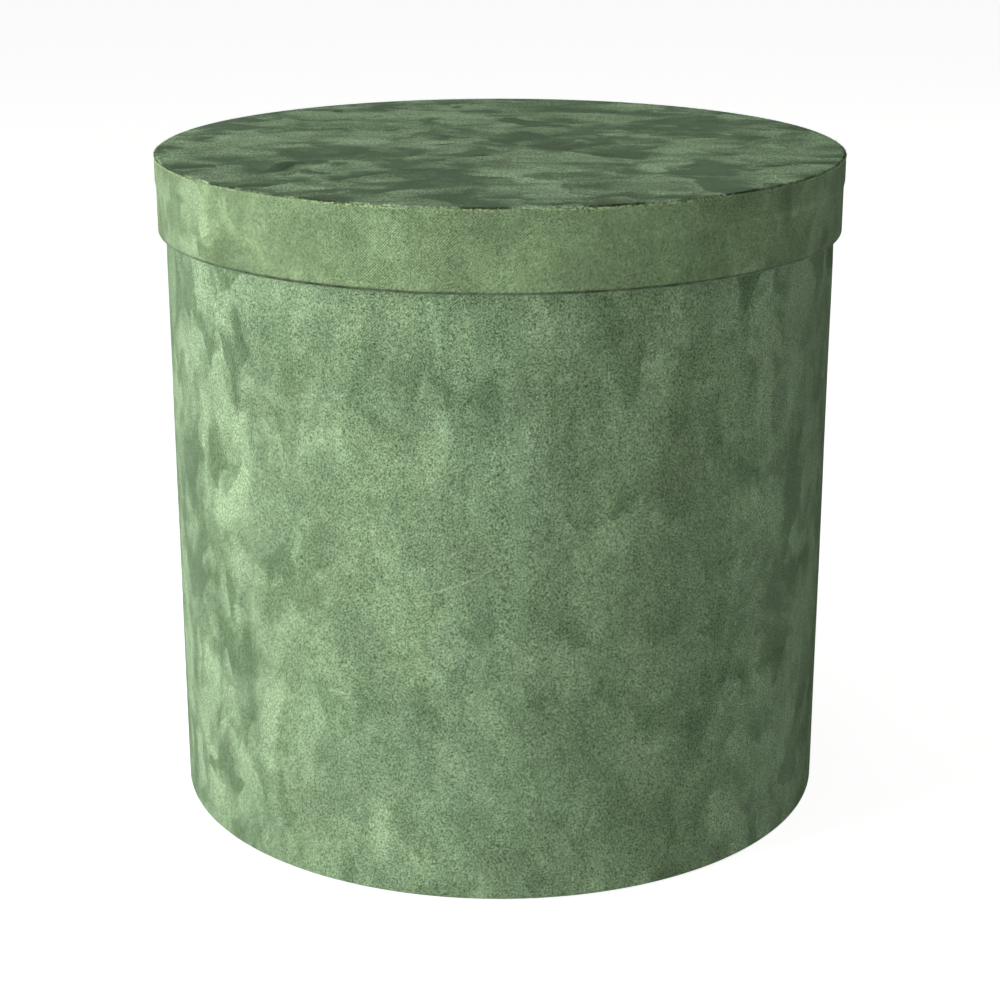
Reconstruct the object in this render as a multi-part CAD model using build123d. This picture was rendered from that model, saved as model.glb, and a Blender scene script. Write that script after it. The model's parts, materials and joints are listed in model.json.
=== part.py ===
from build123d import *
import math
import os

# Round lidded flower box: rolled board shells, wrapped in napped fabric and lined with paper.
# Origin: centre of the underside, on the surface the box stands on. +Z is up, the seams are at +Y.
# Every sheet and board is a solid of its own. A sheet is a profile along a centreline in radius and
# height, turned about +Z, and a film of glue lies between neighbours.

# Driving sizes, in millimetres.
body_radius = 125.0  # over the fabric
body_height = 246.0  # from the underside to the top of the rim
lid_depth = 29.0  # from the lid's lower edge to its top, over the fabric
lid_clearance = 0.4  # all round, between the body's fabric and the lid's lining

# Stock.
fabric = 0.4
paper = 0.15
foot_paper = 0.3
body_board = 2.0
base_board_thickness = 2.5
rim_board = 1.2
top_board = 2.0
tape = 0.1
tape_width = 36.0
glue = 0.05  # film between two glued faces
disc_fit = 0.1  # all round, between a board disc and the shell it is glued into
board_seam = 0.2  # gap where a rolled board's two ends butt
fabric_seam = 0.3  # gap where a wrap's two ends butt

# Margins.
mouth_turn_in = 20.0  # fabric folded down inside the body's rim
underside_turn_in = 15.0  # fabric folded in under the body
lid_turn_in = 16.0  # fabric folded up inside the lid's rim
cover_skirt = 9.0  # edge of the lid's top cover, folded down under the band
band_drop = 0.6  # cut upper edge of the band, below the lid's top
mouth_reveal = 5.0  # fabric left bare between the rim and the lining
lining_tab = 10.0  # lining folded over at a corner
foot_inset = 4.0  # underside cover, in from the edge of the body
floor_inset = 0.3  # floor lining, in from the wall lining
step_start = 0.5  # how far past the edge of a sheet the one over it begins to step down
step_run = 2.5  # length of that step

# Rounded corners.
body_edge = 0.4  # crushed corners of the body board
rim_edge = 0.3  # crushed corners of the lid's rim board
paper_bend = 0.4  # centreline radius where a lining folds
soft_step = 1.5  # centreline radius where a sheet steps over another

# Radii of the body, from the outside in. Linings and turned-in fabric pass over the seam tape.
over_tape = tape + 2 * glue
wrap_bend = fabric / 2 + glue
body_wrap_line = body_radius - fabric / 2
tube_outer = body_radius - fabric - glue
tube_inner = tube_outer - body_board
mouth_fabric_line = tube_inner - over_tape - fabric / 2
mouth_lining_line = mouth_fabric_line - fabric / 2 - glue - paper / 2
wall_lining_line = tube_inner - over_tape - paper / 2

# Heights of the body, from the underside up.
foot_line = foot_paper / 2
underside_fabric_line = foot_paper + glue + fabric / 2
tube_bottom = foot_paper + glue + fabric + glue
foot_centre_line = tube_bottom - glue - foot_paper / 2
base_top = tube_bottom + base_board_thickness
tab_line = base_top + glue + paper / 2
floor_edge_line = tab_line + paper + glue
tube_top = body_height - fabric - glue

# Radii of the lid, from the inside out.
lid_inner = body_radius + lid_clearance
lid_mouth_lining_line = lid_inner + paper / 2
lid_mouth_fabric_line = lid_inner + paper + glue + fabric / 2
rim_inner = lid_inner + paper + glue + fabric + over_tape
rim_outer = rim_inner + rim_board
lid_wrap_line = rim_outer + glue + fabric / 2
band_over_skirt_line = lid_wrap_line + fabric + glue
lid_radius = band_over_skirt_line + fabric / 2
rim_lining_line = rim_inner - over_tape - paper / 2

# Heights of the lid, which rests on the body's rim, from the contact up.
ceiling_edge_line = body_height + paper / 2
ceiling_tab_line = ceiling_edge_line + paper + glue
top_board_bottom = ceiling_tab_line + paper / 2 + glue
top_board_top = top_board_bottom + top_board
cover_line = top_board_top + glue + fabric / 2
lid_top = cover_line + fabric / 2
skirt_bottom = lid_top - cover_skirt
lid_bottom = lid_top - lid_depth


def turned(profile, seam=0.0, seam_radius=1.0):
    """Turns a profile in radius and height about +Z, leaving a gap of seam mm open at +Y."""
    gap = math.degrees(seam / seam_radius)
    solid = revolve(profile, axis=Axis.Z, revolution_arc=360 - gap)
    return Rot(0, 0, 90 + gap / 2) * solid


def sheet(points, thickness, bends, seam=0.0, seam_radius=1.0):
    """Sheet of one thickness along a centreline of (radius, height) points, bends being its corner radii."""
    profile = trace(FilletPolyline(*points, radius=bends), thickness)
    return turned(Plane.XZ * profile, seam, seam_radius)


def board_ring(inner, outer, bottom, top, corners, radius):
    """Rolled board between two radii, its ends butted at +Y, with the named corners rounded."""
    wide = outer - inner
    face = Plane.XZ * Pos((inner + outer) / 2, (bottom + top) / 2) * Rectangle(wide, top - bottom)
    ends = {"bottom": bottom, "top": top}
    rounded = [v for v in face.vertices() if any(abs(v.Z - ends[c]) < 1e-6 for c in corners)]
    return turned(fillet(rounded, radius), board_seam, outer)


def disc(radius, bottom, thickness):
    return Pos(0, 0, bottom) * Cylinder(radius, thickness, align=(Align.CENTER, Align.CENTER, Align.MIN))


def seam_tape(inner_wall, bottom, top):
    """Paper tape over a board seam, on the inside of the shell."""
    outer = inner_wall - glue
    face = Plane.XZ * Pos(outer - tape / 2, (bottom + top) / 2) * Rectangle(tape, top - bottom)
    sweep_angle = math.degrees(tape_width / outer)
    return Rot(0, 0, 90 - sweep_angle / 2) * revolve(face, axis=Axis.Z, revolution_arc=sweep_angle)


def stepped_disc(centre_z, edge_z, step_end, radius, thickness):
    """Round sheet that lies flat in the middle and steps over a ring-shaped margin at its edge."""
    points = [(0, centre_z), (step_end - step_run, centre_z), (step_end, edge_z), (radius, edge_z)]
    return sheet(points, thickness, soft_step)


def body_tube():
    return board_ring(tube_inner, tube_outer, tube_bottom, tube_top, ("bottom", "top"), body_edge)


def body_seam_tape():
    return seam_tape(tube_inner, base_top + lining_tab, tube_top - body_edge)


def base_board():
    return disc(tube_inner - disc_fit, tube_bottom, base_board_thickness)


def body_wrap():
    points = [
        (mouth_fabric_line, body_height - mouth_turn_in),
        (mouth_fabric_line, body_height - fabric / 2),
        (body_wrap_line, body_height - fabric / 2),
        (body_wrap_line, underside_fabric_line),
        (body_radius - underside_turn_in, underside_fabric_line),
    ]
    return sheet(points, fabric, body_edge + wrap_bend, fabric_seam, body_radius)


def wall_lining():
    """Paper up the inside wall, over the turned-in fabric at the mouth, with a tab on the floor."""
    step_top = body_height - mouth_turn_in - step_start
    points = [
        (mouth_lining_line, body_height - mouth_reveal),
        (mouth_lining_line, step_top),
        (wall_lining_line, step_top - step_run),
        (wall_lining_line, tab_line),
        (wall_lining_line - lining_tab, tab_line),
    ]
    return sheet(points, paper, [soft_step, soft_step, paper_bend])


def floor_lining():
    step_end = wall_lining_line - lining_tab - step_start
    radius = wall_lining_line - paper / 2 - floor_inset
    return stepped_disc(tab_line, floor_edge_line, step_end, radius, paper)


def underside_cover():
    step_end = body_radius - underside_turn_in - step_start
    return stepped_disc(foot_centre_line, foot_line, step_end, body_radius - foot_inset, foot_paper)


def lid_rim_board():
    bottom = lid_bottom + fabric + glue
    return board_ring(rim_inner, rim_outer, bottom, top_board_top, ("bottom", "top"), rim_edge)


def lid_seam_tape():
    return seam_tape(rim_inner, lid_bottom + fabric + glue + rim_edge, top_board_bottom - lining_tab / 2)


def lid_top_board():
    return disc(rim_inner - disc_fit, top_board_bottom, top_board)


def lid_top_cover():
    """Fabric over the top board, its edge folded down over the rim."""
    points = [(0, cover_line), (lid_wrap_line, cover_line), (lid_wrap_line, skirt_bottom)]
    return sheet(points, fabric, rim_edge + wrap_bend)


def lid_rim_wrap():
    """Fabric band round the rim, over the cover's folded edge and turned in at the bottom."""
    step_top = skirt_bottom - step_start
    points = [
        (band_over_skirt_line, lid_top - band_drop),
        (band_over_skirt_line, step_top),
        (lid_wrap_line, step_top - step_run),
        (lid_wrap_line, lid_bottom + fabric / 2),
        (lid_mouth_fabric_line, lid_bottom + fabric / 2),
        (lid_mouth_fabric_line, lid_bottom + lid_turn_in),
    ]
    bends = [soft_step, soft_step, rim_edge + wrap_bend, rim_edge + wrap_bend]
    return sheet(points, fabric, bends, fabric_seam, lid_radius)


def lid_rim_lining():
    """Paper band inside the lid's rim, over the turned-in fabric, with a tab under the top board."""
    step_bottom = lid_bottom + lid_turn_in + step_start
    points = [
        (lid_mouth_lining_line, lid_bottom + mouth_reveal),
        (lid_mouth_lining_line, step_bottom),
        (rim_lining_line, step_bottom + step_run),
        (rim_lining_line, ceiling_tab_line),
        (rim_lining_line - lining_tab, ceiling_tab_line),
    ]
    return sheet(points, paper, [soft_step, soft_step, paper_bend])


def lid_disc_lining():
    step_end = rim_lining_line - lining_tab - step_start
    radius = rim_lining_line - paper / 2 - floor_inset
    return stepped_disc(ceiling_tab_line, ceiling_edge_line, step_end, radius, paper)


makers = [
    body_tube,
    body_seam_tape,
    base_board,
    body_wrap,
    wall_lining,
    floor_lining,
    underside_cover,
    lid_rim_board,
    lid_seam_tape,
    lid_top_board,
    lid_top_cover,
    lid_rim_wrap,
    lid_rim_lining,
    lid_disc_lining,
]

os.makedirs("parts", exist_ok=True)
for make in makers:
    export_step(make(), f"parts/{make.__name__}.step")
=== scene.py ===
import json
import math

import bmesh
import bpy
import numpy as np
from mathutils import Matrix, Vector


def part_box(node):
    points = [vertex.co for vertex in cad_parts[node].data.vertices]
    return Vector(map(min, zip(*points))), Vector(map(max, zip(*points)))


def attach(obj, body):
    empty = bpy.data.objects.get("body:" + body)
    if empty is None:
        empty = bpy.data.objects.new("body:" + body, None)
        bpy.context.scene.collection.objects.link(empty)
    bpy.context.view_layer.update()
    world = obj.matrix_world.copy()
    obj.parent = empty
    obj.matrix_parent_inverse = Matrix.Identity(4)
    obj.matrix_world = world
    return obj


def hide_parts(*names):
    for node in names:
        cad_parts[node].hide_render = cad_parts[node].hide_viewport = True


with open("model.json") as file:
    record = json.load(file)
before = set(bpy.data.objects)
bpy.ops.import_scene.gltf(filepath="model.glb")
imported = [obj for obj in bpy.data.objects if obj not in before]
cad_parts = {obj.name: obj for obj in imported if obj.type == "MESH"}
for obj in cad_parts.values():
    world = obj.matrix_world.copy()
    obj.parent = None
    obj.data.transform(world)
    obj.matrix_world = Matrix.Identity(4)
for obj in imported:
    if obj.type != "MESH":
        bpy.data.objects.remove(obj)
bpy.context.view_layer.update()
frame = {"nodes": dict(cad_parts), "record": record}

mm = 0.001
white = (1.0, 1.0, 1.0)
print("frame loaded:", len(frame["nodes"]), "CAD nodes")

# what every piece shares, taken from the frame
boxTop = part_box("body_wrap")[1].z
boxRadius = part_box("body_wrap")[1].x
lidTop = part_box("lid_top_cover")[1].z
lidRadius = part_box("lid_rim_wrap")[1].x
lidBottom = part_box("lid_rim_wrap")[0].z
suedeThickness = 0.4 * mm
glueFilm = 0.05 * mm
shellDepth = 1.2 * mm  # what lies nearer the outside than this swells with it

bendStep = 0.25  # radians between the points of a bend
edgeBulge = 0.5  # how far a cut edge rounds out, in half thicknesses


def turned(vector, angle):
    c, s = math.cos(angle), math.sin(angle)
    return Vector((vector.x * c - vector.y * s, vector.x * s + vector.y * c))


def cornerArc(start, heading, after, bend):
    # points and headings round one bend, between two straight runs
    turn = math.atan2(heading.x * after.y - heading.y * after.x, heading.dot(after))
    left = Vector((-heading.y, heading.x)) * math.copysign(1, turn)
    centre = start + left * bend
    steps = max(3, math.ceil(abs(turn) / bendStep))
    arc = []
    for k in range(1, steps):
        angle = turn * k / steps
        arc.append((centre + turned(start - centre, angle), turned(heading, angle)))
    return arc


def centreLine(corners, bends, step, closeRows=()):
    # points and headings along a sheet's section: straight runs joined by arcs
    corners = [Vector(c) for c in corners]
    cuts = [0.0] * len(corners)
    for i, bend in enumerate(bends, 1):
        turn = (corners[i] - corners[i - 1]).angle(corners[i + 1] - corners[i])
        cuts[i] = bend * math.tan(turn / 2)
    path = []
    for i in range(len(corners) - 1):
        heading = (corners[i + 1] - corners[i]).normalized()
        start = corners[i] + heading * cuts[i]
        end = corners[i + 1] - heading * cuts[i + 1]
        run = (end - start).length
        stops = set(np.linspace(0, run, max(1, math.ceil(run / step)) + 1).round(7))
        if i == 0:
            stops |= {round(c, 7) for c in closeRows if c < run}  # closer rows at the cut edge
        path += [(start + heading * float(d), heading) for d in sorted(stops)]
        if i + 2 < len(corners):
            after = (corners[i + 2] - corners[i + 1]).normalized()
            path += cornerArc(end, heading, after, bends[i])
    return path


def sheetSection(path, startCap=True):
    # closed outline: the sheet's left face, its rounded far edge, its right face, its near edge
    half = suedeThickness / 2
    bulge = half * edgeBulge
    points = [(p.x - t.y * half, p.y + t.x * half, -t.y, t.x) for p, t in path]
    p, t = path[-1]
    points.append((p.x + t.x * bulge, p.y + t.y * bulge, -t.y, t.x))
    points += [(p.x + t.y * half, p.y - t.x * half, -t.y, t.x) for p, t in reversed(path)]
    if startCap:
        p, t = path[0]
        points.append((p.x - t.x * bulge, p.y - t.y * bulge, -t.y, t.x))
    return np.array(points)


waveCount = 14
waveSpread = 0.42  # the share of the waves' full swing that fills the range from 0 to 1


def ripple(around, up, seed, longest=0.12, shortest=0.018):
    # smooth unevenness from 0 to 1 that closes on itself round the axis
    draw = np.random.default_rng(seed)
    total, weight = 0.0, 0.0
    for _ in range(waveCount):
        length = math.exp(draw.uniform(math.log(shortest), math.log(longest)))
        slant = draw.uniform(0, math.pi)
        turns = round(2 * math.pi * boxRadius / length * math.cos(slant))
        rise = 2 * math.pi / length * math.sin(slant)
        total = total + length * np.sin(turns * around + rise * up + draw.uniform(0, 2 * math.pi))
        weight += length * waveSpread
    return np.clip(0.5 + 0.5 * total / weight, 0, 1)


def makePiece(name, body, points, faces):
    mesh = bpy.data.meshes.new(name)
    mesh.from_pydata(points, [], faces)
    mesh.validate()
    work = bmesh.new()
    work.from_mesh(mesh)
    bmesh.ops.recalc_face_normals(work, faces=work.faces)
    for face in work.faces:
        face.smooth = True
    work.to_mesh(mesh)
    work.free()
    piece = bpy.data.objects.new(name, mesh)
    bpy.context.scene.collection.objects.link(piece)
    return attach(piece, body)


def turnedPiece(name, body, section, angles, push, lift=None, sway=None):
    # turns a section round the axis from the first angle to the last; angle 0 faces -Y
    columns, rows = len(angles), len(section)
    around, up = np.meshgrid(angles, section[:, 1], indexing="ij")
    radius = np.tile(section[:, 0], (columns, 1))
    shift = push(around, up, radius)
    r = radius + section[:, 2] * shift
    z = up + section[:, 3] * shift
    if lift is not None:
        z = z + lift(around)
    if sway is not None:
        around = around + sway(up)
    points = np.stack([r * np.sin(around), -r * np.cos(around), z], -1).reshape(-1, 3)
    faces = []
    for i in range(columns - 1):
        here, there = i * rows, (i + 1) * rows
        for k in range(rows):
            n = (k + 1) % rows
            faces.append((here + k, here + n, there + n, there + k))
    for first in (0, (columns - 1) * rows):
        faces += endFaces(first, rows)
    return makePiece(name, body, points.tolist(), faces)


def endFaces(first, rows):
    # fills the cut end of a sheet between its two faces
    side = (rows - 2) // 2
    faces = [(first + rows - 1, first, first + rows - 2)]
    for k in range(side - 1):
        faces.append((first + k, first + k + 1, first + rows - 3 - k, first + rows - 2 - k))
    faces.append((first + side - 1, first + side, first + side + 1))
    return faces


def plugIn(tree, made, inputs):
    for key, value in inputs.items():
        if isinstance(value, bpy.types.NodeSocket):
            tree.links.new(value, made.inputs[key])
        else:
            made.inputs[key].default_value = value


def addNode(tree, kind, inputs=None, **settings):
    made = tree.nodes.new(kind)
    for key, value in settings.items():
        setattr(made, key, value)
    plugIn(tree, made, inputs or {})
    return made


def placeGroup(tree, group, inputs):
    made = tree.nodes.new("ShaderNodeGroup")
    made.node_tree = group
    plugIn(tree, made, inputs)
    return made.outputs


def calc(tree, operation, a, b=0.0, c=0.0):
    return addNode(tree, "ShaderNodeMath", {0: a, 1: b, 2: c}, operation=operation).outputs[0]


def plus(tree, a, b):
    return calc(tree, "ADD", a, b)


def minus(tree, a, b):
    return calc(tree, "SUBTRACT", a, b)


def times(tree, a, b):
    return calc(tree, "MULTIPLY", a, b)


def timesPlus(tree, a, b, c):
    return calc(tree, "MULTIPLY_ADD", a, b, c)


def over(tree, a, b):
    return calc(tree, "DIVIDE", a, b)


def vectorCalc(tree, operation, a, b=(0.0, 0.0, 0.0)):
    return addNode(tree, "ShaderNodeVectorMath", {0: a, 1: b}, operation=operation).outputs["Vector"]


def scaled(tree, vector, amount):
    return addNode(tree, "ShaderNodeVectorMath", {0: vector, "Scale": amount}, operation="SCALE").outputs[0]


def joined(tree, x, y):
    return addNode(tree, "ShaderNodeCombineXYZ", {0: x, 1: y}).outputs[0]


def parted(tree, vector):
    return addNode(tree, "ShaderNodeSeparateXYZ", {0: vector}).outputs


def partedColour(tree, colour):
    return addNode(tree, "ShaderNodeSeparateColor", {0: colour}).outputs


def noise(tree, place, scale, detail, roughness=0.5, distortion=0.0):
    inputs = {"Vector": place, "Scale": scale, "Detail": detail, "Roughness": roughness,
              "Distortion": distortion}
    return addNode(tree, "ShaderNodeTexNoise", inputs).outputs


def mixColour(tree, factor, a, b, blend="MIX"):
    made = addNode(tree, "ShaderNodeMix", {0: factor, 6: a, 7: b}, data_type="RGBA", blend_type=blend)
    return made.outputs[2]


def fitRange(tree, value, low, high, newLow=0.0, newHigh=1.0, soft=True):
    ends = {"Value": value, "From Min": low, "From Max": high, "To Min": newLow, "To Max": newHigh}
    way = "SMOOTHSTEP" if soft else "LINEAR"
    return addNode(tree, "ShaderNodeMapRange", ends, interpolation_type=way).outputs["Result"]


def newGroup(name, inputs, outputs):
    group = bpy.data.node_groups.new(name, "ShaderNodeTree")
    for label, kind, value in inputs:
        socket = group.interface.new_socket(label, in_out="INPUT", socket_type="NodeSocket" + kind)
        if value is not None:
            socket.default_value = value
    for label, kind in outputs:
        group.interface.new_socket(label, in_out="OUTPUT", socket_type="NodeSocket" + kind)
    return group, addNode(group, "NodeGroupInput").outputs, addNode(group, "NodeGroupOutput").inputs


def makeWrapCoordinates():
    # distance round the wall from the front, and height
    group, given, out = newGroup("wrapCoordinates", [("Vector", "Vector", None)],
                                 [("Around", "Float"), ("Up", "Float")])
    parts = parted(group, given["Vector"])
    angle = calc(group, "ARCTAN2", parts[0], times(group, parts[1], -1.0))
    group.links.new(times(group, angle, boxRadius), out["Around"])
    group.links.new(parts[2], out["Up"])
    return group


def turnedAxes(group, x, y, angle):
    # the same place along and across a line at this angle
    c, s = calc(group, "COSINE", angle), calc(group, "SINE", angle)
    along = timesPlus(group, x, c, times(group, y, s))
    across = minus(group, times(group, y, c), times(group, x, s))
    return along, across


# one stroke left in the nap, in shares of its size
napDab = {
    "bendScale": 1.1, "bendDetail": 3.0, "bendRoughness": 0.55, "seedSlant": 1.7,
    "bow": 0.9, "offset": 0.18, "edge": 0.05, "fullAt": 0.04, "goneAt": 0.65,
    "fullWithin": 0.42, "noneBeyond": 0.7,
}


def bentPlace(group, given):
    # where the strokes are looked up: shrunk to their size, moved by the seed, bent a little
    v = scaled(group, given["Vector"], over(group, 1.0, given["Size"]))
    shift = joined(group, given["Seed"], times(group, given["Seed"], napDab["seedSlant"]))
    v = vectorCalc(group, "ADD", v, shift)
    bent = noise(group, v, napDab["bendScale"], napDab["bendDetail"], napDab["bendRoughness"])
    bend = vectorCalc(group, "SUBTRACT", bent["Color"], (0.5, 0.5, 0.5))
    return vectorCalc(group, "ADD", v, scaled(group, bend, given["Warp"]))


def makeNapDabs():
    # scattered strokes: each is lighter or darker, crisp along one bowed edge, and fades away from it
    group, given, out = newGroup(
        "napDabs",
        [("Vector", "Vector", None), ("Size", "Float", 0.02), ("Warp", "Float", 0.5),
         ("Seed", "Float", 0.0)],
        [("Tone", "Float"), ("Lean", "Vector")])
    v = bentPlace(group, given)
    cell = addNode(group, "ShaderNodeTexVoronoi", {"Vector": v, "Scale": 1.0},
                   voronoi_dimensions="2D").outputs
    local = parted(group, vectorCalc(group, "SUBTRACT", v, cell["Position"]))
    own = partedColour(group, cell["Color"])
    along, across = turnedAxes(group, local[0], local[1], times(group, own[0], 2 * math.pi))
    across = timesPlus(group, times(group, along, along), napDab["bow"], across)
    across = plus(group, across, napDab["offset"])
    side = fitRange(group, across, -napDab["edge"], napDab["edge"])
    fade = fitRange(group, across, napDab["goneAt"], napDab["fullAt"])
    reach = fitRange(group, cell["Distance"], napDab["noneBeyond"], napDab["fullWithin"])
    tone = timesPlus(group, own[1], 2.0, -1.0)
    stroke = times(group, times(group, side, fade), times(group, tone, reach))
    way = vectorCalc(group, "SUBTRACT", cell["Color"], (0.5, 0.5, 0.5))
    group.links.new(stroke, out["Tone"])
    group.links.new(scaled(group, way, stroke), out["Lean"])
    return group


# three sizes of stroke over a soft cloud
napLayers = (
    {"share": 1.0, "seedShift": 0.0, "weight": 0.9},
    {"share": 0.62, "seedShift": 5.1, "weight": 0.8},
    {"share": 0.36, "seedShift": 9.7, "weight": 0.5},
)
napCloud = {"scale": 1.1, "detail": 6.0, "roughness": 0.62, "distortion": 0.9, "low": 0.34, "high": 0.66}


def makeNapMarks(napDabs):
    group, given, out = newGroup(
        "napMarks",
        [("Vector", "Vector", None), ("Size", "Float", 0.02), ("Warp", "Float", 0.5),
         ("Seed", "Float", 0.0), ("Cloud", "Float", 0.6)],
        [("Tone", "Float"), ("Lean", "Vector")])
    scale = over(group, napCloud["scale"], given["Size"])
    cloud = noise(group, given["Vector"], scale, napCloud["detail"], napCloud["roughness"],
                  napCloud["distortion"])[0]
    cloud = minus(group, fitRange(group, cloud, napCloud["low"], napCloud["high"]), 0.5)
    tone = times(group, cloud, given["Cloud"])
    lean = (0.0, 0.0, 0.0)
    for layer in napLayers:
        size = times(group, given["Size"], layer["share"])
        seed = plus(group, given["Seed"], layer["seedShift"])
        dabs = placeGroup(group, napDabs, {"Vector": given["Vector"], "Size": size,
                                           "Warp": given["Warp"], "Seed": seed})
        tone = timesPlus(group, dabs["Tone"], layer["weight"], tone)
        lean = vectorCalc(group, "ADD", lean, dabs["Lean"])
    group.links.new(tone, out["Tone"])
    group.links.new(lean, out["Lean"])
    return group


def makeSideSheenMarks():
    # painted sheen: the nap marks show strongest at the box's left and right, standing in for the stronger
    # contrast the nap's sheen gives where the wall is seen edge-on
    group, given, out = newGroup(
        "sideSheenMarks",
        [("Vector", "Vector", None), ("Least", "Float", 0.3), ("From", "Float", 0.6),
         ("To", "Float", 0.98)],
        [("Amount", "Float")])
    parts = parted(group, given["Vector"])
    sideways = calc(group, "ABSOLUTE", parts[0])
    frontways = calc(group, "ABSOLUTE", parts[1])
    angle = calc(group, "ARCTAN2", sideways, frontways)
    amount = fitRange(group, angle, given["From"], given["To"], given["Least"], 1.0)
    group.links.new(amount, out["Amount"])
    return group


# the scales are in turns per metre
twill = {
    "diagonal": 0.7071, "wander": 9.0, "wanderScale": 260.0, "beadDepth": 0.18, "beadShare": 0.83,
    "brokenScale": 900.0, "brokenLeast": 0.45, "patchScale": 85.0, "patchLeast": 0.25,
}


def makeTwill():
    # diagonal ribs of the backing cloth, broken up by the threads that cross them
    group, given, out = newGroup(
        "twillWeave",
        [("Around", "Float", 0.0), ("Up", "Float", 0.0), ("Pitch", "Float", 0.00067)],
        [("Rib", "Float"), ("Show", "Float")])
    place = joined(group, given["Around"], given["Up"])
    wander = noise(group, place, twill["wanderScale"], 2.0)[0]
    across = minus(group, given["Around"], given["Up"])
    along = plus(group, given["Around"], given["Up"])
    turns = over(group, 2 * math.pi * twill["diagonal"], given["Pitch"])
    phase = timesPlus(group, across, turns, times(group, wander, twill["wander"]))
    rib = timesPlus(group, calc(group, "SINE", phase), 0.5, 0.5)
    beads = calc(group, "SINE", times(group, along, times(group, turns, twill["beadShare"])))
    rib = times(group, rib, timesPlus(group, beads, twill["beadDepth"], 1 - twill["beadDepth"]))
    broken = noise(group, place, twill["brokenScale"], 1.0)[0]
    rib = times(group, rib, fitRange(group, broken, 0.25, 0.6, twill["brokenLeast"], 1.0))
    patchy = noise(group, place, twill["patchScale"], 3.0)[0]
    group.links.new(rib, out["Rib"])
    group.links.new(fitRange(group, patchy, 0.38, 0.62, twill["patchLeast"], 1.0), out["Show"])
    return group


fibreCloudShare = 0.16  # the size of a fibre over that of the cloud it lies in


def makeFibreGrain():
    group, given, out = newGroup("fibreGrain", [("Vector", "Vector", None), ("Size", "Float", 0.0006)],
                                 [("Grain", "Float"), ("Cloud", "Float")])
    fine = noise(group, given["Vector"], over(group, 1.0, given["Size"]), 3.0, 0.7)[0]
    coarse = noise(group, given["Vector"], over(group, fibreCloudShare, given["Size"]), 4.0, 0.65)[0]
    group.links.new(fitRange(group, fine, 0.3, 0.7, soft=False), out["Grain"])
    group.links.new(fitRange(group, coarse, 0.3, 0.7, soft=False), out["Cloud"])
    return group


def makeLeanNormal():
    # tips the surface normal the way the nap lies
    group, given, out = newGroup("leanNormal", [("Lean", "Vector", None), ("Amount", "Float", 0.1)],
                                 [("Normal", "Vector")])
    straight = addNode(group, "ShaderNodeNewGeometry").outputs["Normal"]
    tipped = vectorCalc(group, "ADD", straight, scaled(group, given["Lean"], given["Amount"]))
    group.links.new(vectorCalc(group, "NORMALIZE", tipped), out["Normal"])
    return group


# in shares of the spacing; most cells hold no speck
lintSpeck = {"emptyCells": 0.72, "fullWithin": 0.02, "noneBeyond": 0.05}


def makeLint():
    # stray specks of light fibre caught in the nap
    group, given, out = newGroup("lintSpecks", [("Vector", "Vector", None), ("Spacing", "Float", 0.006)],
                                 [("Mask", "Float")])
    inputs = {"Vector": given["Vector"], "Scale": over(group, 1.0, given["Spacing"])}
    cell = addNode(group, "ShaderNodeTexVoronoi", inputs).outputs
    chance = partedColour(group, cell["Color"])[0]
    near = fitRange(group, cell["Distance"], lintSpeck["noneBeyond"], lintSpeck["fullWithin"])
    caught = calc(group, "GREATER_THAN", chance, lintSpeck["emptyCells"])
    group.links.new(times(group, near, caught), out["Mask"])
    return group


def makeScratch():
    # one thin bowed line where the nap was grazed
    group, given, out = newGroup(
        "nailScratch",
        [("Around", "Float", 0.0), ("Up", "Float", 0.0), ("Centre Around", "Float", 0.0),
         ("Centre Up", "Float", 0.0), ("Tilt", "Float", 0.0), ("Length", "Float", 0.01),
         ("Width", "Float", 0.0004), ("Bow", "Float", 0.0)],
        [("Mask", "Float")])
    x = minus(group, given["Around"], given["Centre Around"])
    y = minus(group, given["Up"], given["Centre Up"])
    along, across = turnedAxes(group, x, y, given["Tilt"])
    across = minus(group, across, times(group, times(group, along, along), given["Bow"]))
    thin = fitRange(group, calc(group, "ABSOLUTE", across), given["Width"], 0.0)
    reach = over(group, calc(group, "ABSOLUTE", along), given["Length"])
    group.links.new(times(group, thin, fitRange(group, reach, 0.5, 0.35)), out["Mask"])
    return group


wrapCoordinates = makeWrapCoordinates()
napMarks = makeNapMarks(makeNapDabs())
sideSheenMarks = makeSideSheenMarks()
twillWeave = makeTwill()
fibreGrain = makeFibreGrain()
leanNormal = makeLeanNormal()
lintSpecks = makeLint()
nailScratch = makeScratch()
print("shared effects built")


def startMaterial(name, constants):
    material = bpy.data.materials.new(name)
    material.use_nodes = True
    tree = material.node_tree
    shader = tree.nodes["Principled BSDF"]
    for key, value in constants.items():
        shader.inputs[key].default_value = value
    return material, tree, shader


def objectPlace(tree):
    return addNode(tree, "ShaderNodeTexCoord").outputs["Object"]


def edgeToneAndShadow(tree, place, colour, edge):
    # cut or folded edge of the cloth: a tone broken up along the edge; at the raw upper edge light thread
    # colour with painted shadow specks, at the folded hem a painted shadow line
    near = fitRange(tree, parted(tree, place)[2], edge["from"], edge["to"])
    broken = noise(tree, place, 1 / edge["speck"], 1.0)[0]
    tone = mixColour(tree, fitRange(tree, broken, 0.4, 0.58), (*edge["dark"], 1), (*edge["light"], 1))
    edgeWave = noise(tree, place, 1 / edge["waveSpan"], 2.0)[0]
    near = times(tree, near, fitRange(tree, edgeWave, 0.4, 0.6, edge["least"], edge["most"]))
    return mixColour(tree, near, colour, tone)


# what the three cloths share
suede = {
    "gloss": 0.12, "coolDrift": (0.82, 1.0, 1.0), "warmDrift": (1.12, 1.0, 0.78),
    "deepRoughness": 0.95, "raisedRoughness": 0.8, "ribMiddle": 0.4, "ribHeight": 0.6,
    "relief": 0.25 * mm, "scratchShow": 0.4, "lintShow": 0.35,
}


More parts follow.
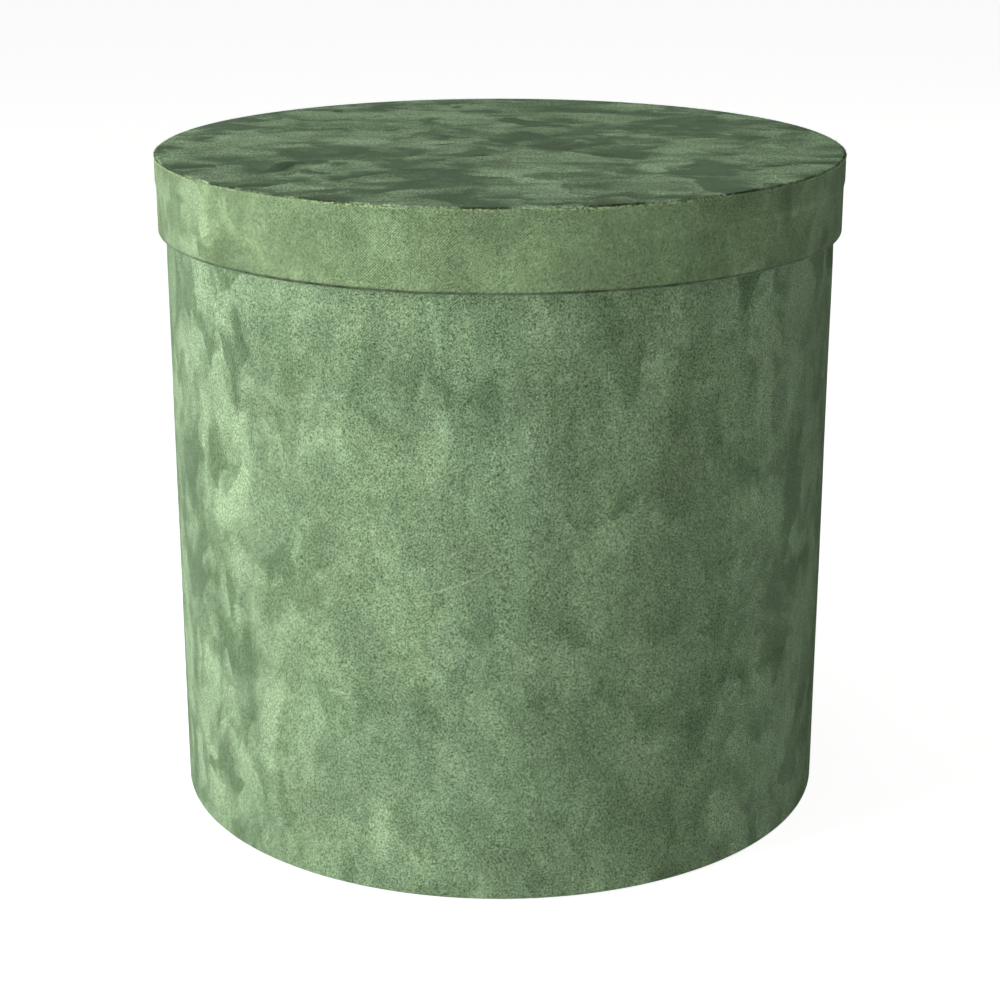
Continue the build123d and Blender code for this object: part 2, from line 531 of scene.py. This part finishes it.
def clothAxes(tree, place, flat):
    # across the flat top of the lid, or round and up a wall
    if flat:
        parts = parted(tree, place)
        return parts[0], parts[1]
    wrap = placeGroup(tree, wrapCoordinates, {"Vector": place})
    return wrap["Around"], wrap["Up"]


def napColour(tree, look, factor, clouds):
    # from deep to raised nap, drifting a little between cooler and warmer green
    colour = mixColour(tree, factor, (*look["deepNap"], 1), (*look["raisedNap"], 1))
    warm = fitRange(tree, partedColour(tree, clouds["Color"])[1], 0.35, 0.65)
    drift = mixColour(tree, warm, (*suede["coolDrift"], 1), (*suede["warmDrift"], 1))
    return mixColour(tree, look["hueShift"], colour, drift, "MULTIPLY")


def napShade(tree, look, grain, clouds, ribs):
    # lighter and darker by fibre, fleck, cloud and rib
    softCloud = fitRange(tree, clouds["Fac"], 0.32, 0.68)
    shade = timesPlus(tree, ribs, look["twillContrast"], 1.0)
    for value, contrast in ((grain["Grain"], look["grainContrast"]), (grain["Cloud"], look["mottle"]),
                            (softCloud, look["cloudContrast"])):
        shade = times(tree, shade, timesPlus(tree, value, contrast, 1 - contrast / 2))
    return shade


def addMarksAndEdgeShadow(tree, look, colour, place, around, up):
    # scratches, edge tones with painted shadow, and lint
    lintColour = (*look["lint"], 1)
    for scratch in look["scratches"]:
        line = placeGroup(tree, nailScratch, {"Around": around, "Up": up, **scratch})["Mask"]
        colour = mixColour(tree, times(tree, line, suede["scratchShow"]), colour, lintColour)
    for edge in look["edges"]:
        colour = edgeToneAndShadow(tree, place, colour, edge)
    specks = placeGroup(tree, lintSpecks, {"Vector": place, "Spacing": look["lintSpacing"]})["Mask"]
    return mixColour(tree, times(tree, specks, suede["lintShow"]), colour, lintColour)


def addRelief(tree, shader, look, grain, ribs, marks, sideSheen):
    # fibres and ribs in relief, on a normal that leans with the nap
    lean = {"Lean": marks["Lean"], "Amount": times(tree, sideSheen, look["lean"])}
    tipped = placeGroup(tree, leanNormal, lean)["Normal"]
    height = timesPlus(tree, ribs, suede["ribHeight"], grain["Grain"])
    relief = {"Strength": look["bump"], "Distance": suede["relief"], "Height": height, "Normal": tipped}
    tree.links.new(addNode(tree, "ShaderNodeBump", relief).outputs[0], shader.inputs["Normal"])


def suedeMaterial(name, look):
    material, tree, shader = startMaterial(name, {
        "Sheen Weight": look["sheen"], "Sheen Roughness": look["sheenRoughness"],
        "Sheen Tint": (*look["sheenTint"], 1), "Specular IOR Level": suede["gloss"],
    })
    place = objectPlace(tree)
    around, up = clothAxes(tree, place, look["flat"])
    drawn = vectorCalc(tree, "MULTIPLY", joined(tree, around, up), look["stretch"])
    marks = placeGroup(tree, napMarks, {"Vector": drawn, "Size": look["markSize"],
                                        "Warp": look["markWarp"], "Seed": look["seed"],
                                        "Cloud": look["markCloud"]})
    sideSheen = placeGroup(tree, sideSheenMarks, {"Vector": place, "Least": look["leastMarks"]})["Amount"]
    clouds = noise(tree, drawn, 1 / look["cloudSize"], 5.0, 0.62)
    combed = vectorCalc(tree, "MULTIPLY", place, look["comb"])
    grain = placeGroup(tree, fibreGrain, {"Vector": combed, "Size": look["grainSize"]})
    weave = placeGroup(tree, twillWeave, {"Around": around, "Up": up, "Pitch": look["twillPitch"]})
    ribs = times(tree, minus(tree, weave["Rib"], suede["ribMiddle"]), weave["Show"])

    # painted sheen: the marks' tone is strengthened towards the left and right sides
    tone = times(tree, marks["Tone"], sideSheen)
    factor = fitRange(tree, timesPlus(tree, tone, look["markContrast"], 0.5), 0.0, 1.0)
    colour = napColour(tree, look, factor, clouds)
    colour = scaled(tree, colour, napShade(tree, look, grain, clouds, ribs))
    colour = addMarksAndEdgeShadow(tree, look, colour, place, around, up)
    rough = fitRange(tree, factor, 0.0, 1.0, suede["deepRoughness"], suede["raisedRoughness"], soft=False)
    tree.links.new(colour, shader.inputs["Base Color"])
    tree.links.new(rough, shader.inputs["Roughness"])
    addRelief(tree, shader, look, grain, ribs, marks, sideSheen)
    return material


bodySuede = {
    "deepNap": (0.098, 0.160, 0.080), "raisedNap": (0.268, 0.378, 0.226), "lint": (0.5, 0.6, 0.42),
    "flat": False, "stretch": (1.0, 0.62, 1.0), "seed": 2.0,
    "markSize": 24 * mm, "markWarp": 0.6, "markCloud": 0.45, "markContrast": 0.95, "leastMarks": 0.24,
    "lean": 0.35, "cloudSize": 26 * mm, "cloudContrast": 0.3, "mottle": 0.2, "hueShift": 0.1,
    "comb": (1, 1, 1), "grainSize": 0.56 * mm, "grainContrast": 1.95,
    "twillPitch": 0.67 * mm, "twillContrast": 0.8, "lintSpacing": 7 * mm, "bump": 0.7,
    "sheen": 0.48, "sheenRoughness": 0.35, "sheenTint": (0.72, 0.95, 0.66),
    "edges": (),
    "scratches": (
        {"Centre Around": -58.5 * mm, "Centre Up": 74.4 * mm, "Tilt": -0.06, "Length": 9 * mm,
         "Width": 0.5 * mm, "Bow": 0.0},
        {"Centre Around": -15 * mm, "Centre Up": 118.3 * mm, "Tilt": 0.38, "Length": 34 * mm,
         "Width": 0.35 * mm, "Bow": 7.0},
    ),
}
# raw upper edge: light thread colour broken by dark specks; the dark specks are painted shadow of the
# thread ends standing over the edge
rawUpperEdge = {
    "from": lidTop - 1.5 * mm, "to": lidTop - 1.0 * mm, "speck": 0.9 * mm, "waveSpan": 22 * mm,
    "least": 0.2, "most": 0.8, "dark": (0.08, 0.12, 0.05), "light": (0.42, 0.54, 0.26),
}
# painted shadow: the band darkens just above its hem fold, standing in for the shade in the gap under the
# lid
hemShadowLine = {
    "from": lidBottom + 1.5 * mm, "to": lidBottom + 0.6 * mm, "speck": 2.5 * mm, "waveSpan": 30 * mm,
    "least": 0.7, "most": 1.0, "dark": (0.02, 0.03, 0.017), "light": (0.055, 0.08, 0.045),
}
bandSuede = {
    **bodySuede,
    "deepNap": (0.102, 0.160, 0.074), "raisedNap": (0.272, 0.378, 0.210),
    "stretch": (1.0, 0.9, 1.0), "seed": 7.0, "markContrast": 0.5,
    "grainContrast": 1.35, "twillContrast": 1.0,
    "edges": (rawUpperEdge, hemShadowLine), "scratches": (),
}
# the lid top's nap tones lie much further apart than on the walls: beyond the top's own marks, the extra
# contrast is painted sheen for the nap seen at a low angle
lidTopSuede = {
    **bodySuede,
    "deepNap": (0.032, 0.054, 0.027), "raisedNap": (0.340, 0.457, 0.292),
    "flat": True, "stretch": (0.8, 1.0, 1.0), "seed": 8.0,
    "markSize": 34 * mm, "markWarp": 0.7, "markCloud": 0.55, "leastMarks": 1.0, "lean": 0.9,
    "cloudSize": 20 * mm, "cloudContrast": 0.4, "hueShift": 0.08,
    "comb": (1, 0.5, 1), "grainSize": 0.85 * mm, "grainContrast": 1.7, "twillContrast": 0.1,
    "sheen": 0.3, "sheenTint": (0.66, 0.95, 0.60), "scratches": (),
}
suedeMaterials = {
    "body": suedeMaterial("bodySuede", bodySuede),
    "band": suedeMaterial("bandSuede", bandSuede),
    "lidTop": suedeMaterial("lidTopSuede", lidTopSuede),
}

# what the papers and boards share
paper = {"fleckShow": 0.5, "roughSpread": 0.06, "cloudHeight": 1.4, "relief": 0.06 * mm}


def paperMaterial(name, look):
    material, tree, shader = startMaterial(name, {"Specular IOR Level": look["gloss"]})
    place = objectPlace(tree)
    grain = placeGroup(tree, fibreGrain, {"Vector": place, "Size": look["fibreSize"]})
    factor = timesPlus(tree, grain["Grain"], 0.5, times(tree, grain["Cloud"], 0.5))
    colour = mixColour(tree, factor, (*look["shade"], 1), (*look["light"], 1))
    flecks = placeGroup(tree, lintSpecks, {"Vector": place, "Spacing": look["fleckSpacing"]})["Mask"]
    colour = mixColour(tree, times(tree, flecks, paper["fleckShow"]), colour, (*look["fleck"], 1))
    smoothest, roughest = look["rough"] - paper["roughSpread"], look["rough"] + paper["roughSpread"]
    rough = fitRange(tree, grain["Cloud"], 0.0, 1.0, smoothest, roughest)
    height = timesPlus(tree, grain["Cloud"], paper["cloudHeight"], grain["Grain"])
    relief = {"Strength": look["bump"], "Distance": paper["relief"], "Height": height}
    tree.links.new(colour, shader.inputs["Base Color"])
    tree.links.new(rough, shader.inputs["Roughness"])
    tree.links.new(addNode(tree, "ShaderNodeBump", relief).outputs[0], shader.inputs["Normal"])
    return material


liningPaper = {
    "light": (0.80, 0.78, 0.72), "shade": (0.70, 0.68, 0.61), "fleck": (0.55, 0.5, 0.42),
    "gloss": 0.3, "fibreSize": 0.8 * mm, "fleckSpacing": 9 * mm, "rough": 0.72, "bump": 0.35,
}
footPaper = {
    "light": (0.035, 0.038, 0.036), "shade": (0.022, 0.024, 0.023), "fleck": (0.08, 0.08, 0.075),
    "gloss": 0.35, "fibreSize": 0.6 * mm, "fleckSpacing": 6 * mm, "rough": 0.66, "bump": 0.5,
}
greyBoard = {
    "light": (0.42, 0.39, 0.34), "shade": (0.27, 0.25, 0.22), "fleck": (0.16, 0.13, 0.1),
    "gloss": 0.2, "fibreSize": 1.1 * mm, "fleckSpacing": 4 * mm, "rough": 0.88, "bump": 0.7,
}
kraftTape = {
    "light": (0.46, 0.31, 0.17), "shade": (0.35, 0.22, 0.12), "fleck": (0.24, 0.14, 0.07),
    "gloss": 0.45, "fibreSize": 0.9 * mm, "fleckSpacing": 5 * mm, "rough": 0.55, "bump": 0.4,
}
paperMaterials = {
    "lining_paper": paperMaterial("liningPaper", liningPaper),
    "foot_paper": paperMaterial("footPaper", footPaper),
    "board": paperMaterial("greyBoard", greyBoard),
    "kraft_tape": paperMaterial("kraftTape", kraftTape),
}


def giveMaterial(piece, material):
    piece.data.materials.clear()
    piece.data.materials.append(material)


for entry in frame["record"]["subparts"]:
    if entry["material_slot"] in paperMaterials:
        giveMaterial(frame["nodes"][entry["node"]], paperMaterials[entry["material_slot"]])
print("materials built")

# the fabric round the body, folded in at the mouth and under the bottom
sleeve = {
    "columns": 481, "rowStep": 4.0 * mm, "turnIn": 20 * mm, "turnUnder": 15 * mm,
    "foldBend": 0.65 * mm, "wallThickness": 2.7 * mm, "underside": 0.55 * mm,
    "unevenness": 0.14 * mm, "leastSwell": 0.15, "easeUnderLid": 12 * mm,
    "flatFoot": 1 * mm, "easeAtFoot": 10 * mm,
    "seamGap": 0.3 * mm, "seamWander": 0.06 * mm,
    "firstEndWaves": ((900, 0), (2310, 1)), "lastEndWaves": ((1100, 2), (1930, 0)),
}


def sleevePath():
    half = suedeThickness / 2
    outer = boxRadius - half
    inner = boxRadius - sleeve["wallThickness"] - half + glueFilm
    top = boxTop - half
    corners = [(inner, boxTop - sleeve["turnIn"]), (inner, top), (outer, top),
               (outer, sleeve["underside"]), (boxRadius - sleeve["turnUnder"], sleeve["underside"])]
    return centreLine(corners, [sleeve["foldBend"]] * 3, sleeve["rowStep"])


def sleeveSwell(around, up, radius):
    # swells a little on the wall, and lies flat under the lid, at the folds and on the underside
    wall = np.clip((lidBottom - up) / sleeve["easeUnderLid"], sleeve["leastSwell"], 1)
    foot = np.clip((up - sleeve["flatFoot"]) / sleeve["easeAtFoot"], 0, 1)
    outside = (radius > boxRadius - shellDepth).astype(float)
    return sleeve["unevenness"] * ripple(around, up, 5) * wall * foot * outside


def endWander(up, waves):
    # how far a cut end strays from straight, as an angle round the axis
    (often, shift), (oftener, otherShift) = waves
    swing = np.abs(np.sin(up * often + shift) * np.sin(up * oftener + otherShift))
    return swing * sleeve["seamWander"] / boxRadius


def sleeveSeam(up):
    # the two cut ends wander a little where they meet at the back
    edge = np.zeros_like(up)
    edge[0] = endWander(up[0], sleeve["firstEndWaves"])
    edge[-1] = -endWander(up[-1], sleeve["lastEndWaves"])
    return edge


def makeSleeve():
    path = sleevePath()
    start = math.pi - sleeve["seamGap"] / 2 / boxRadius
    angles = np.linspace(-start, start, sleeve["columns"])
    piece = turnedPiece("body_sleeve", "box", sheetSection(path), angles, sleeveSwell, sway=sleeveSeam)
    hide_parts("body_wrap")
    giveMaterial(piece, suedeMaterials["body"])


makeSleeve()
print("body sleeve made")

# the fabric over the lid's top, its edge folded down over the rim
lidCover = {
    "spokes": 480, "ringStep": 4.0 * mm, "innerRing": 2.0 * mm, "skirt": 9 * mm,
    "foldBend": 0.55 * mm, "unevenness": 0.1 * mm, "flatEdge": 3 * mm, "easeIn": 10 * mm,
    "waves": 12, "shortestWave": 25 * mm, "longestWave": 110 * mm, "waveHeight": 0.5,
}


def flatSwell(x, y):
    # smooth unevenness from 0 to 1 over the flat top
    draw = np.random.default_rng(9)
    total = 0.0
    for _ in range(lidCover["waves"]):
        length = draw.uniform(lidCover["shortestWave"], lidCover["longestWave"])
        way = draw.uniform(0, math.pi)
        turns = (x * math.cos(way) + y * math.sin(way)) * 2 * math.pi / length
        total = total + length * np.sin(turns + draw.uniform(0, 2 * math.pi))
    return np.clip(0.5 + total / lidCover["waveHeight"], 0, 1)


def coverFaces(count, rows):
    # the rings, then the two discs that close the middle
    faces = []
    for i in range(count):
        here, there = i * rows, (i + 1) % count * rows
        for k in range(rows - 1):
            faces.append((here + k, here + k + 1, there + k + 1, there + k))
    for row, middle in ((0, count * rows), (rows - 1, count * rows + 1)):
        for i in range(count):
            faces.append((i * rows + row, (i + 1) % count * rows + row, middle))
    return faces


def makeLidCover():
    half = suedeThickness / 2
    skirtLine = lidRadius - suedeThickness - glueFilm - half
    height = lidTop - half
    corners = [(lidCover["innerRing"], height), (skirtLine, height),
               (skirtLine, lidTop - lidCover["skirt"])]
    path = centreLine(corners, [lidCover["foldBend"]], lidCover["ringStep"])
    section = sheetSection(path, startCap=False)
    angles = np.arange(lidCover["spokes"]) * 2 * math.pi / lidCover["spokes"]
    x = np.outer(np.sin(angles), section[:, 0])
    y = -np.outer(np.cos(angles), section[:, 0])
    flatPart = np.clip((skirtLine - lidCover["flatEdge"] - section[:, 0]) / lidCover["easeIn"], 0, 1)
    swell = lidCover["unevenness"] * flatSwell(x, y) * flatPart
    points = np.stack([x, y, section[:, 1] + swell], -1).reshape(-1, 3).tolist()
    points.append((0, 0, height + half + float(swell[0, 0])))
    points.append((0, 0, height - half + float(swell[0, -1])))
    piece = makePiece("lid_cover", "lid", points, coverFaces(lidCover["spokes"], len(section)))
    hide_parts("lid_top_cover")
    giveMaterial(piece, suedeMaterials["lidTop"])


# the fabric round the lid: raw at its upper edge, over the cover's skirt, folded in at its hem
lidBand = {
    "columns": 1241, "rowStep": 4.0 * mm, "edgeRows": (0.35 * mm, 0.9 * mm), "drop": 0.6 * mm,
    "skirt": 9 * mm, "stepStart": 0.5 * mm, "stepRun": 2.5 * mm, "turnIn": 16 * mm,
    "wall": 2.45 * mm, "softBend": 1.5 * mm, "foldBend": 0.55 * mm, "seamGap": 0.3 * mm,
    "notch": 0.4 * mm, "notches": 1000, "notchPower": 2.2, "wornGain": 2, "wornFrom": 0.55,
    "unevenness": 0.07 * mm, "calmEdge": 2 * mm, "easeIn": 6 * mm,
    "hemWave": 0.16 * mm, "hemHeight": 6 * mm,
}


def cutEdge(around, seed):
    # ragged line of a cut cloth edge, from 0 to 1: small steps at the threads, in stretches
    draw = np.random.default_rng(seed)
    knots = draw.random(lidBand["notches"])
    wave = ripple(around, around * 0, seed + 1, longest=0.09, shortest=0.012)
    stretch = np.clip(wave * lidBand["wornGain"] - lidBand["wornFrom"], 0, 1)
    place = (around + math.pi) / (2 * math.pi) * (len(knots) - 1)
    return np.interp(place, np.arange(len(knots)), knots ** lidBand["notchPower"]) * stretch


def bandPath():
    # the centre line, and the radius of the wall below the step
    half = suedeThickness / 2
    outer = lidRadius - half
    lower = outer - suedeThickness - glueFilm
    inner = lidRadius - lidBand["wall"] + half - glueFilm
    stepTop = lidTop - lidBand["skirt"] - lidBand["stepStart"]
    foot = lidBottom + half
    corners = [(outer, lidTop - lidBand["drop"]), (outer, stepTop), (lower, stepTop - lidBand["stepRun"]),
               (lower, foot), (inner, foot), (inner, lidBottom + lidBand["turnIn"])]
    bends = [lidBand["softBend"]] * 2 + [lidBand["foldBend"]] * 2
    return centreLine(corners, bends, lidBand["rowStep"], lidBand["edgeRows"]), lower


def bandSwell(around, up, radius):
    outside = (radius > lidRadius - shellDepth).astype(float)
    calm = np.clip((lidTop - lidBand["calmEdge"] - up) / lidBand["easeIn"], 0, 1)
    return lidBand["unevenness"] * ripple(around, up, 23) * outside * calm


def makeLidBand():
    path, wallRadius = bandPath()
    section = sheetSection(path)
    start = math.pi - lidBand["seamGap"] / 2 / lidRadius
    angles = np.linspace(-start, start, lidBand["columns"])
    edgeRows = [0, len(section) - 2, len(section) - 1]
    hem = np.clip((lidBottom + lidBand["hemHeight"] - section[:, 1]) / lidBand["hemHeight"], 0, 1)
    hem = hem * (section[:, 0] > wallRadius - suedeThickness / 2)

    def notchAndHem(around):
        drop = np.zeros_like(around)
        drop[:, edgeRows] = -lidBand["notch"] * cutEdge(around[:, edgeRows], 31)
        return drop + lidBand["hemWave"] * hem * ripple(around, around * 0, 41, longest=0.07, shortest=0.02)

    piece = turnedPiece("lid_band", "lid", section, angles, bandSwell, notchAndHem)
    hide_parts("lid_rim_wrap")
    giveMaterial(piece, suedeMaterials["band"])


makeLidCover()
makeLidBand()
print("lid cover and band made")

# thread ends that stand out of the band's cut upper edge
frayedEdge = {
    "spacing": 0.5 * mm, "jitter": 0.3, "least": 0.25, "wornGain": 1.8, "wornFrom": 0.4,
    "shortest": 0.45 * mm, "longest": 1.15 * mm, "radius": 0.12 * mm, "taper": 0.55,
    "bow": 0.2 * mm, "drop": 1.0 * mm, "sideLean": 1.6, "outLean": 0.5, "rings": 4, "corners": 5,
    "fibreSize": 1.2 * mm, "shade": (0.20, 0.30, 0.10), "light": (0.62, 0.74, 0.40),
    "smoothest": 0.6, "roughest": 0.8,
}


def threadMaterial():
    material, tree, shader = startMaterial("threadEnds", {})
    grain = placeGroup(tree, fibreGrain, {"Vector": objectPlace(tree), "Size": frayedEdge["fibreSize"]})
    colour = mixColour(tree, grain["Grain"], (*frayedEdge["shade"], 1), (*frayedEdge["light"], 1))
    rough = fitRange(tree, grain["Cloud"], 0.0, 1.0, frayedEdge["smoothest"], frayedEdge["roughest"])
    tree.links.new(colour, shader.inputs["Base Color"])
    tree.links.new(rough, shader.inputs["Roughness"])
    return material


def addFibre(points, faces, root, heading, side, length, radius, bow):
    # one tapered thread end with a bend in it
    rings, corners = frayedEdge["rings"], frayedEdge["corners"]
    first = len(points)
    across = heading.cross(side).normalized()
    for k in range(rings):
        t = k / (rings - 1)
        centre = root + heading * length * t + side * bow * t * t
        thick = radius * (1 - frayedEdge["taper"] * t)
        for c in range(corners):
            a = 2 * math.pi * c / corners
            points.append(centre + (side * math.cos(a) + across * math.sin(a)) * thick)
    for k in range(rings - 1):
        a, b = first + k * corners, first + (k + 1) * corners
        for c in range(corners):
            n = (c + 1) % corners
            faces.append((a + c, a + n, b + n, b + c))
    faces.append(tuple(first + c for c in range(corners)))
    faces.append(tuple(first + (rings - 1) * corners + c for c in reversed(range(corners))))


def makeFrayedEdge():
    draw = np.random.default_rng(57)
    jitter, sideLean, bow = frayedEdge["jitter"], frayedEdge["sideLean"], frayedEdge["bow"]
    count = int(2 * math.pi * lidRadius / frayedEdge["spacing"])
    points, faces = [], []
    for k in range(count):
        angle = (k + draw.uniform(-jitter, jitter)) * 2 * math.pi / count - math.pi
        edgeWave = float(ripple(np.array([angle]), np.array([0.0]), 77, longest=0.1, shortest=0.015)[0])
        frayed = max(0.0, edgeWave * frayedEdge["wornGain"] - frayedEdge["wornFrom"])
        if draw.random() > frayedEdge["least"] + (1 - frayedEdge["least"]) * frayed:
            continue
        out = Vector((math.sin(angle), -math.cos(angle), 0))
        side = Vector((math.cos(angle), math.sin(angle), 0))
        root = out * (lidRadius - suedeThickness * draw.uniform(0.05, 0.6))
        root.z = lidTop - frayedEdge["drop"]
        heading = out * draw.uniform(0.0, frayedEdge["outLean"]) + side * draw.uniform(-sideLean, sideLean)
        heading = (heading + Vector((0, 0, draw.uniform(0.3, 1)))).normalized()
        length = draw.uniform(frayedEdge["shortest"], frayedEdge["longest"]) * (0.6 + 0.6 * edgeWave)
        bend = draw.uniform(-bow, bow)
        radius = frayedEdge["radius"] * draw.uniform(0.7, 1.2)
        addFibre(points, faces, root, heading, side, length, radius, bend)
    piece = makePiece("band_frayed_edge", "lid", [tuple(p) for p in points], faces)
    giveMaterial(piece, threadMaterial())


makeFrayedEdge()
print("thread ends made")

studio = {
    "distance": 6.928 * lidRadius, "aim": 0.8523 * lidRadius, "pitch": math.radians(17.79),
    "lens": 81.42, "sensor": 36, "floorHalf": 40.0, "floorTone": (0.4, 0.4, 0.4),
    "floorRoughness": 0.9, "floorGlow": 0.92, "ambient": 0.08, "bounce": (0.84, 1.0, 0.76),
}
softboxes = {
    "keySoftbox": {"place": (-1.28, -0.54, 0.44), "aim": (0, 0, 0.12), "wide": 0.9, "tall": 1.0,
                   "power": 24, "colour": white},
    "lowFill": {"place": (-0.26, -1.38, 0.0), "aim": (0, 0, -0.03), "wide": 0.8, "tall": 0.25,
                "power": 20, "colour": white},
    "topSoftbox": {"place": (-0.35, 0.25, 1.5), "aim": (0, 0, 0.2), "wide": 1.4, "tall": 1.4,
                   "power": 3.8, "colour": white},
    "backFill": {"place": (1.35, 1.05, 0.7), "aim": (0, 0, 0.12), "wide": 1.3, "tall": 1.2,
                 "power": 3.4, "colour": (0.86, 1.0, 0.78)},
}


def addCamera():
    data = bpy.data.cameras.new("camera")
    data.lens = studio["lens"]
    data.sensor_width = studio["sensor"]
    camera = bpy.data.objects.new("camera", data)
    camera.location = (0, -studio["distance"] * math.cos(studio["pitch"]),
                       studio["aim"] + studio["distance"] * math.sin(studio["pitch"]))
    camera.rotation_euler = (math.pi / 2 - studio["pitch"], 0, 0)
    bpy.context.scene.collection.objects.link(camera)
    bpy.context.scene.camera = camera


def addSoftbox(name, box):
    data = bpy.data.lights.new(name, "AREA")
    data.shape = "RECTANGLE"
    data.size, data.size_y = box["wide"], box["tall"]
    data.energy = box["power"]
    data.color = box["colour"]
    lamp = bpy.data.objects.new(name, data)
    lamp.location = box["place"]
    facing = Vector(box["aim"]) - Vector(box["place"])
    lamp.rotation_euler = facing.to_track_quat("-Z", "Y").to_euler()
    bpy.context.scene.collection.objects.link(lamp)


def cameraRay(tree):
    return addNode(tree, "ShaderNodeLightPath").outputs["Is Camera Ray"]


def addFloor():
    h = studio["floorHalf"]
    mesh = bpy.data.meshes.new("floor")
    mesh.from_pydata([(-h, -h, 0), (h, -h, 0), (h, h, 0), (-h, h, 0)], [], [(0, 1, 2, 3)])
    floor = bpy.data.objects.new("floor", mesh)
    bpy.context.scene.collection.objects.link(floor)
    material, tree, shader = startMaterial("paleFloor", {
        "Base Color": (*studio["floorTone"], 1), "Roughness": studio["floorRoughness"],
        "Emission Color": (*white, 1),
    })
    glow = times(tree, cameraRay(tree), studio["floorGlow"])
    tree.links.new(glow, shader.inputs["Emission Strength"])
    mesh.materials.append(material)


def addWorld():
    # white to the camera, and a dim green bounce to the box
    world = bpy.data.worlds.new("studio")
    world.use_nodes = True
    tree = world.node_tree
    backdrop = tree.nodes["Background"]
    ray = cameraRay(tree)
    strength = timesPlus(tree, ray, 1.0 - studio["ambient"], studio["ambient"])
    colour = mixColour(tree, ray, (*studio["bounce"], 1), (*white, 1))
    tree.links.new(strength, backdrop.inputs["Strength"])
    tree.links.new(colour, backdrop.inputs["Color"])
    bpy.context.scene.world = world


addCamera()
for name, box in softboxes.items():
    addSoftbox(name, box)
addFloor()
addWorld()
bpy.context.scene.view_settings.view_transform = "Standard"
print("studio set")
